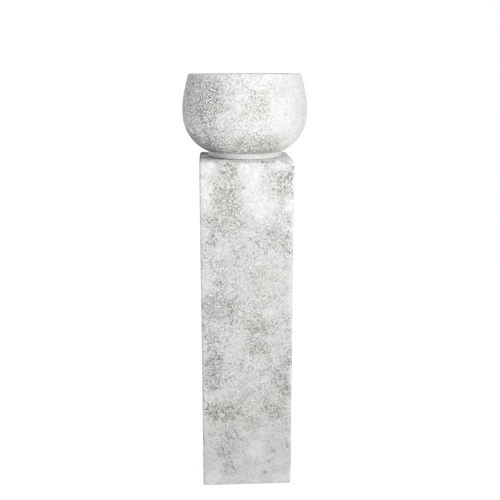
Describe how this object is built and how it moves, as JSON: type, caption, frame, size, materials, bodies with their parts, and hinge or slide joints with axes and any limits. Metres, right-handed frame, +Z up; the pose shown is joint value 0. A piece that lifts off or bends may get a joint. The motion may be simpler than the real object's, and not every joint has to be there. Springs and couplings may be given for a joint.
{
  "type": "decorative column with bowl",
  "caption": "Tall square cement column with softly rounded edges, carrying a matching round bowl with a full belly and a low foot ring, in a pitted whitewashed finish.",
  "frame": {"origin": "middle of the column's square foot, on the surface it stands on", "axes": "+Z up through the column and the bowl, with the column's front face towards -Y"},
  "size_m": [0.3672, 0.3672, 1.2401],
  "materials": {
    "column_cement": "matt whitewashed fibre cement, pitted, with grey-beige patches",
    "bowl_cement": "matt whitewashed fibre cement, finely pitted, darker round the foot"
  },
  "bodies": {
    "root": {"column": "column_cement", "bowl": "bowl_cement"}
  },
  "joints": []
}
